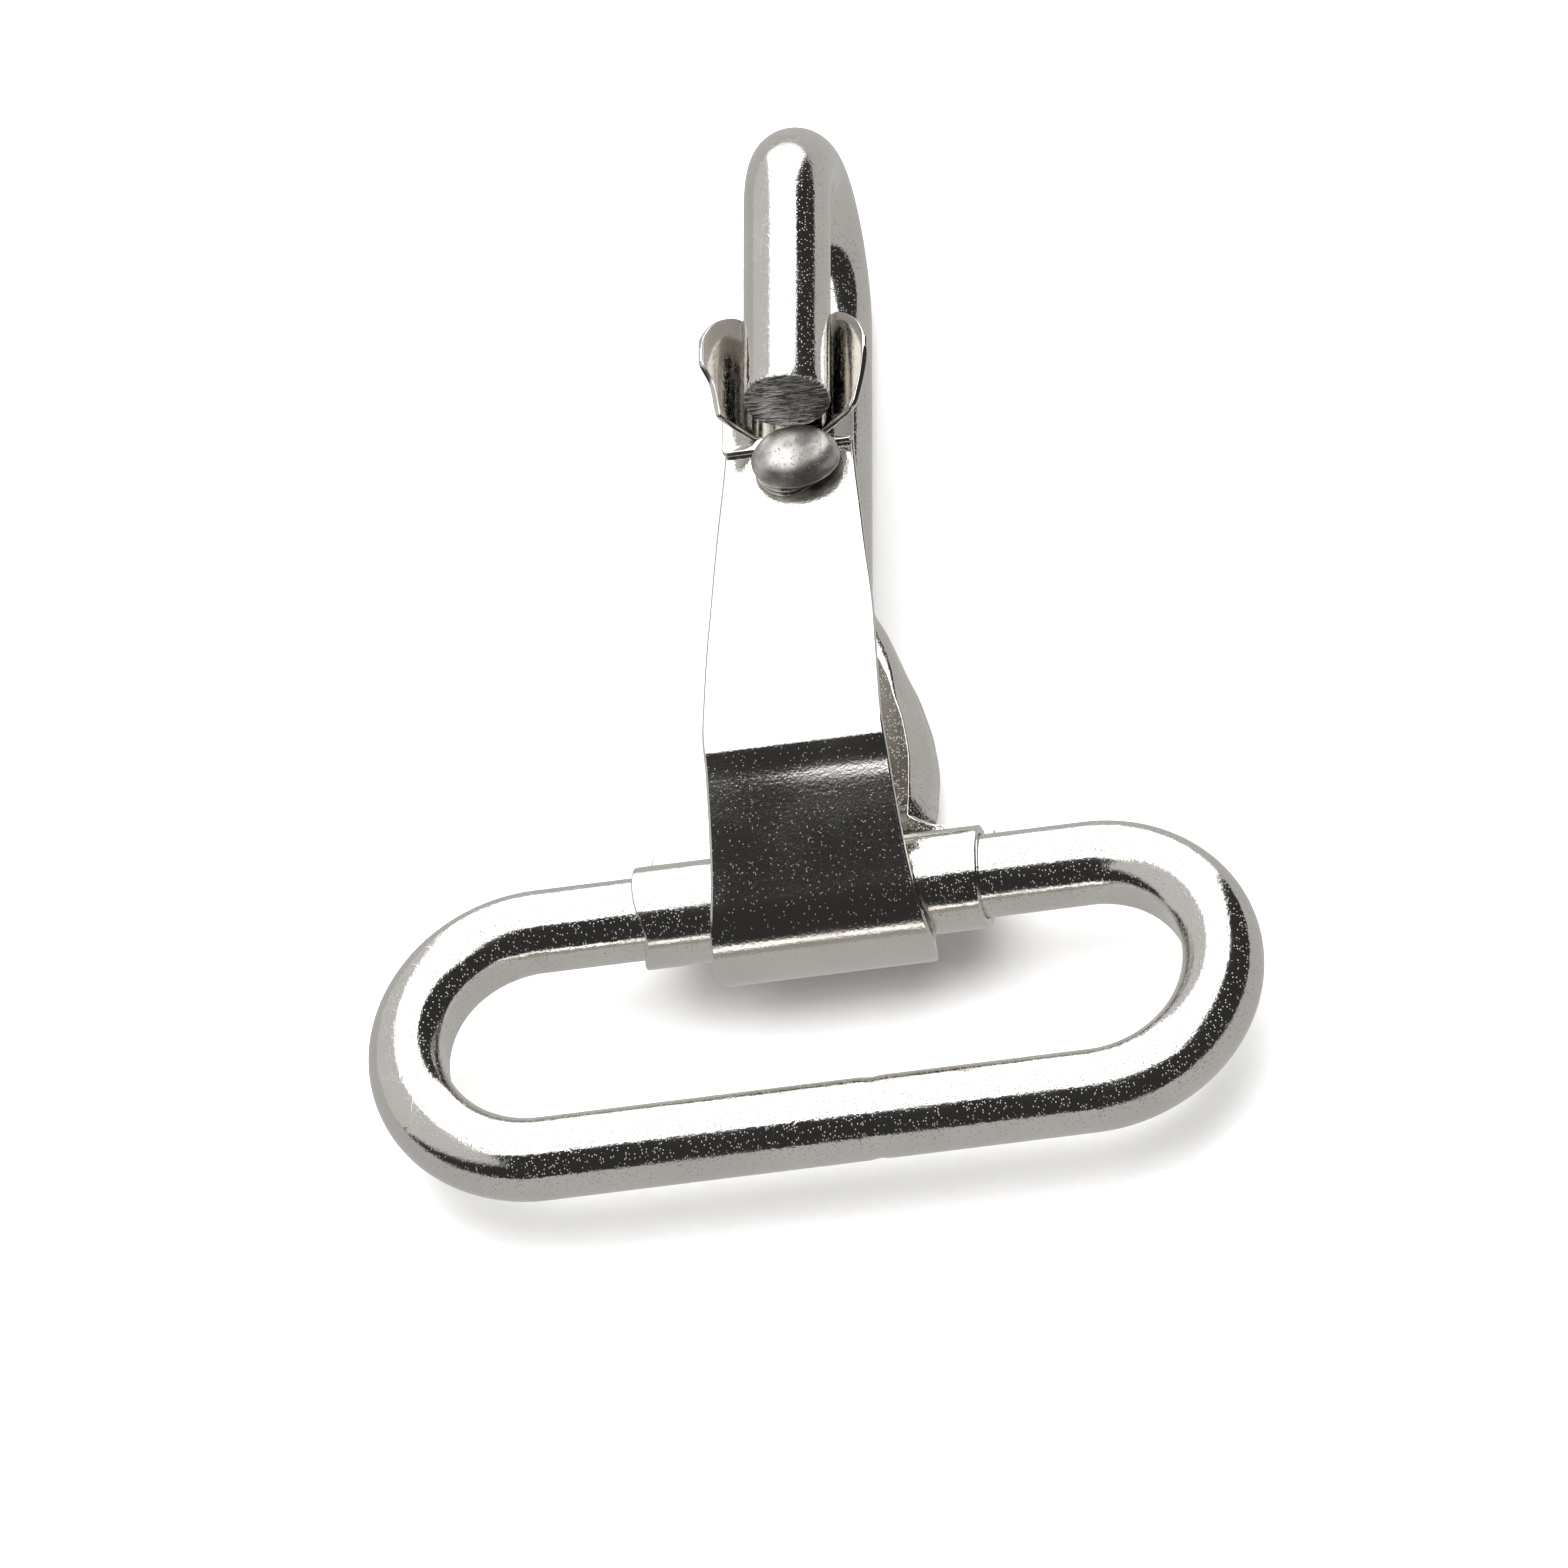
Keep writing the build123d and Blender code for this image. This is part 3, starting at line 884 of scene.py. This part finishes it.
def nickel(name, grain_size, peel_depth, sparse, smooth, rough, scratches, turn,
           mottle=0.08, clouds=260.0, cut_end=False):
    """
    A plated finish. grain_size and peel_depth are in metres, a higher sparse leaves fewer
    specks, smooth and rough are the ends of its roughness, turn is the scratches' direction,
    and mottle is how strongly the clouds darken it.
    """
    material = bpy.data.materials.new(name)
    material.use_nodes = True
    tree = material.node_tree
    shader = tree.nodes["Principled BSDF"]
    shader.inputs["Metallic"].default_value = 1.0
    plating = add(tree, "ShaderNodeGroup", node_tree=grain)
    plating.inputs["Grain"].default_value = 1 / grain_size
    plating.inputs["Specks"].default_value = SPECKS_PER_GRAIN / grain_size
    plating.inputs["Sparse"].default_value = sparse
    plating.inputs["Clouds"].default_value = clouds
    edges = add(tree, "ShaderNodeGroup", node_tree=rubbed)
    marks = add(tree, "ShaderNodeGroup", node_tree=hairs)
    marks.inputs["Amount"].default_value = scratches
    marks.inputs["Turn"].default_value = turn
    height, cloud, speck = plating.outputs
    edge, scratch = edges.outputs[0], marks.outputs[0]
    colour = blend_colour(tree, scaled(tree, cloud, mottle), WARM, WORN)
    colour = blend_colour(tree, scaled(tree, edge, 0.55), colour, RUBBED)
    colour = blend_colour(tree, scaled(tree, scratch, 0.5), colour, RUBBED)
    colour = blend_colour(tree, scaled(tree, speck, 0.35), colour, DULL)
    dull = scaled(tree, cloud, 0.6)
    for value, share in ((speck, 0.7), (scratch, 1.2), (edge, 0.6)):
        dull = maths(tree, "ADD", dull, scaled(tree, value, share))
    roughness = add(tree, "ShaderNodeMapRange", {
        "Value": dull, "To Min": smooth, "To Max": rough}).outputs[0]
    relief = maths(tree, "ADD", height, scaled(tree, speck, 2.2))
    relief = maths(tree, "SUBTRACT", relief, scaled(tree, scratch, 1.5))
    if cut_end:
        colour, roughness, relief = torn_steel(tree, colour, roughness, relief)
    bumps = add(tree, "ShaderNodeBump", {
        "Strength": 1.0, "Distance": peel_depth, "Height": relief})
    tree.links.new(colour, shader.inputs["Base Color"])
    tree.links.new(roughness, shader.inputs["Roughness"])
    tree.links.new(bumps.outputs[0], shader.inputs["Normal"])
    return material


CUT_DEPTH = 0.16              # the torn steel reaches this far up the nose, in millimetres


def mark_cut(piece):
    """Stores 1 on the sheared face of the nose and 0 elsewhere."""
    values = []
    for v in piece.data.vertices:
        y, z = (v.co.y - EYE.y) / MM, (v.co.z - EYE.z) / MM
        on_nose = z > NOSE_Z - ROD_RADIUS - 0.75
        values.append(float(on_nose and NOSE_END - 0.5 < y < NOSE_END + CUT_DEPTH))
    layer = piece.data.attributes.new("cut", "FLOAT", "POINT")
    layer.data.foreach_set("value", values)


mark_cut(hook)
finishes = (
    (hook, nickel("hook_nickel", 0.00021, 7.0e-6, 0.5, 0.07, 0.2, 0.35, 0.2, cut_end=True)),
    (leaf, nickel("leaf_nickel", 0.00016, 6.5e-6, 0.9, 0.08, 0.18, 0.1, 0.7)),
    (guard, nickel("guard_nickel", 0.0002, 2.5e-6, 0.85, 0.08, 0.2, 0.2, 1.4)),
    (rivet, nickel("rivet_nickel", 0.00026, 9.0e-6, 0.6, 0.42, 0.6, 0.3, 2.0,
                   mottle=1.0, clouds=620.0)),
    (ring, nickel("bail_nickel", 0.00023, 9.0e-6, 0.5, 0.07, 0.2, 0.3, 1.0)),
)
for piece, material in finishes:
    piece.data.materials.clear()
    piece.data.materials.append(material)
    print(piece.name, "wears", material.name)

# %% [markdown]
# ## Floor
# A plain pale sheet of paper. The camera sees it almost white. The metal sees a painted
# reflection: for mirror rays the paper glows a flat mid grey, standing in for paper that is lit
# only round the object.

# %% Floor
FLOOR_HALF = 6.0
FLOOR_CELLS = 12

bm = bmesh.new()
bmesh.ops.create_grid(bm, x_segments=FLOOR_CELLS, y_segments=FLOOR_CELLS, size=FLOOR_HALF)
floor_mesh = bpy.data.meshes.new("paper_floor")
bm.to_mesh(floor_mesh)
bm.free()
floor = bpy.data.objects.new("paper_floor", floor_mesh)
bpy.context.scene.collection.objects.link(floor)

paper = bpy.data.materials.new("pale_paper")
paper.use_nodes = True
tree = paper.node_tree
matt = tree.nodes["Principled BSDF"]
matt.inputs["Roughness"].default_value = 0.9
matt.inputs["Specular IOR Level"].default_value = 0.1
place_on_paper = add(tree, "ShaderNodeTexCoord").outputs["Object"]
fibres = add(tree, "ShaderNodeTexNoise", {
    "Vector": place_on_paper, "Scale": 900.0, "Detail": 4.0}).outputs[0]
shade = blend_colour(tree, fibres, (0.90, 0.90, 0.895, 1.0), (0.95, 0.95, 0.945, 1.0))
tree.links.new(shade, matt.inputs["Base Color"])
# Painted reflection: mirror rays see the paper glow a flat mid grey instead of seeing it lit.
painted_floor_reflection = add(tree, "ShaderNodeEmission", {
    "Color": (0.53, 0.525, 0.51, 1.0), "Strength": 1.0})
mirror_ray = add(tree, "ShaderNodeLightPath").outputs["Is Glossy Ray"]
both = add(tree, "ShaderNodeMixShader", {
    0: mirror_ray, 1: matt.outputs[0], 2: painted_floor_reflection.outputs[0]}).outputs[0]
tree.links.new(both, tree.nodes["Material Output"].inputs["Surface"])
floor_mesh.materials.append(paper)
print("floor:", 2 * FLOOR_HALF, "m square")

# %% [markdown]
# ## Light
# Chrome-like metal has almost no look of its own: it shows the room. So the room is built with
# care. A wide softbox hangs overhead and reaches far behind, the wall on the left is pale, and
# the side of the camera and the right are dark.

# %% Room painted on the world
SOFTBOX = 2.3
PALE_WALL = 0.66
DARK_ROOM = 0.035
BACKDROP = 0.95               # what the camera itself sees beyond the floor

world = bpy.data.worlds.new("studio")
bpy.context.scene.world = world
world.use_nodes = True
tree = world.node_tree
sky = tree.nodes["Background"]
look = add(tree, "ShaderNodeTexCoord").outputs["Generated"]
x, y, z = add(tree, "ShaderNodeSeparateXYZ", {0: look}).outputs
toward_camera = maths(tree, "MULTIPLY", y, -1.0)
rounding = maths(tree, "ARCTAN2", z, toward_camera)     # 0 at the camera, 90 degrees overhead
sideways = maths(tree, "ARCSINE", x)


def between(value, start, end, soft):
    """1 between two angles in degrees, with soft edges."""
    up = step_up(tree, value, radians(start - soft), radians(start + soft))
    down = step_up(tree, value, radians(end - soft), radians(end + soft))
    return maths(tree, "SUBTRACT", up, down)


def patch(around, side):
    """1 in a patch of the room: two spans of angles, round the eye's axis and sideways."""
    return maths(tree, "MULTIPLY", between(rounding, *around), between(sideways, *side))


overhead = patch((69, 177, 3), (-27, 27, 2.5))
pale_back = patch((150, 200, 4), (-95, 27, 3))
pale_left = patch((40, 200, 8), (-95, -25, 3))
pale = maths(tree, "MAXIMUM", pale_back, pale_left)
strength = maths(tree, "MAXIMUM", maths(tree, "MULTIPLY", pale, PALE_WALL), DARK_ROOM)
strength = maths(tree, "MAXIMUM", strength, maths(tree, "MULTIPLY", overhead, SOFTBOX))
plain = add(tree, "ShaderNodeLightPath").outputs["Is Camera Ray"]
strength = maths(tree, "MAXIMUM", strength, maths(tree, "MULTIPLY", plain, BACKDROP))
tree.links.new(strength, sky.inputs["Strength"])
sky.inputs["Color"].default_value = (1.0, 0.995, 0.985, 1.0)
print("softbox strength:", SOFTBOX)

# %% Fill light for the floor
lamp = bpy.data.lights.new("floor_fill", "AREA")
lamp.shape = "DISK"
lamp.size = 1.6
lamp.energy = 18.0
lamp_object = bpy.data.objects.new("floor_fill", lamp)
lamp_object.location = (-0.15, 0.1, 0.9)
lamp_object.visible_glossy = False
lamp_object.visible_camera = False
bpy.context.scene.collection.objects.link(lamp_object)
print("fill lamp:", lamp.energy, "W")

# %% [markdown]
# ## Camera
# The camera looks down at about fifty degrees, a little from the right, and it is rolled so
# that the hook stands upright in the picture. A long lens keeps the long bars of the bail
# almost parallel, as they are on a product shot.

# %% Camera
BACK = Vector((0.163, -0.602, 0.782)).normalized()
DISTANCE = 2.0
FIELD = 0.0801                # width of the view at the hook, in metres
SENSOR = 36.0
AIM_UP = 5.8                  # the view's middle, in millimetres from the eye
AIM_LEFT = 1.5

up = (Vector((0, 1, 0)) - BACK * BACK.y).normalized()
right = up.cross(BACK)
aim = EYE + (up * AIM_UP - right * AIM_LEFT) * MM
camera = bpy.data.cameras.new("camera")
camera.sensor_width = SENSOR
camera.lens = SENSOR * DISTANCE / FIELD
camera.clip_start = 0.01
camera_object = bpy.data.objects.new("camera", camera)
turned = Matrix((right, up, BACK)).transposed().to_4x4()
camera_object.matrix_world = Matrix.Translation(aim + BACK * DISTANCE) @ turned
bpy.context.scene.collection.objects.link(camera_object)
bpy.context.scene.camera = camera_object
bpy.context.scene.view_settings.view_transform = "Standard"
print("lens:", round(camera.lens, 1), "mm")
